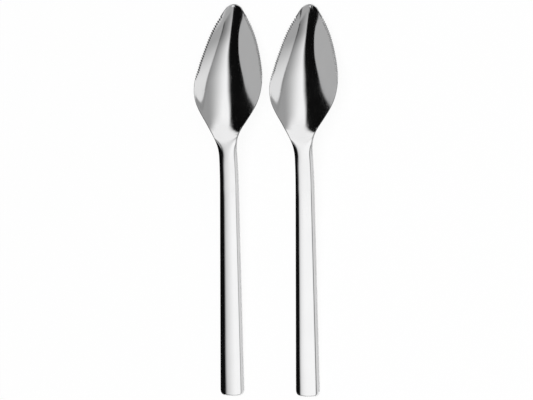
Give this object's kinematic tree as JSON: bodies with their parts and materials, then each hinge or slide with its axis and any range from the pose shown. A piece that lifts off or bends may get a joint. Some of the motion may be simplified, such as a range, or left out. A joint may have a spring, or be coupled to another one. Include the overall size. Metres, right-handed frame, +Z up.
{
  "type": "grapefruit spoon",
  "caption": "Polished steel grapefruit spoons lying side by side, each with a pointed bowl, fine saw teeth on both flanks and a flat tapering handle, for cutting out citrus segments.",
  "frame": {"origin": "on the table, midway between the two spoons and midway along their length", "axes": "+Y runs along the spoons towards the bowl tips, +X points to the right spoon, +Z is up and the hollow sides of the bowls face it"},
  "size_m": [0.0646, 0.17, 0.0159],
  "materials": {
    "polished_steel": "bare stainless steel with a mirror polish"
  },
  "bodies": {
    "left_spoon": {"left_spoon": "polished_steel"},
    "right_spoon": {"right_spoon": "polished_steel"}
  },
  "joints": [
    {"name": "right_spoon_lift", "type": "slide", "parent": "left_spoon", "child": "right_spoon", "axis": [0, 0, 1], "range_m": [0, 0.05]}
  ]
}
